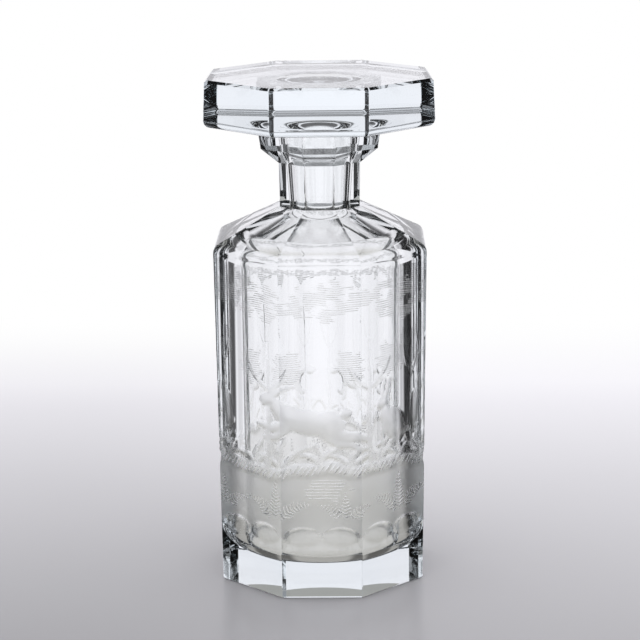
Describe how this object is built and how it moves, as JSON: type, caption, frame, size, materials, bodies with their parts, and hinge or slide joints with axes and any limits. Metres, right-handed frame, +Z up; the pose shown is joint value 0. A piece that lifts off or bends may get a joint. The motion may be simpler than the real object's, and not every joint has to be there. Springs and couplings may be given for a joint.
{
  "type": "whisky decanter",
  "caption": "Eight-sided crystal decanter with a round hollow, a short flared neck and a flat slab stopper on a ground plug.",
  "frame": {"origin": "middle of the underside, on the surface the decanter stands on", "axes": "+Z up along the bottle's axis; +Y away from the front face"},
  "size_m": [0.0993, 0.0998, 0.2256],
  "materials": {
    "bottle_glass": "polished crystal, with an engraved frieze and thumb cuts ground matt",
    "stopper_glass": "polished crystal"
  },
  "bodies": {
    "bottle": {"bottle": "bottle_glass"},
    "stopper": {"stopper": "stopper_glass"}
  },
  "joints": [
    {"name": "stopper_lift", "type": "slide", "parent": "bottle", "child": "stopper", "axis": [0, 0, 1], "range_m": [0, 0.08]}
  ]
}
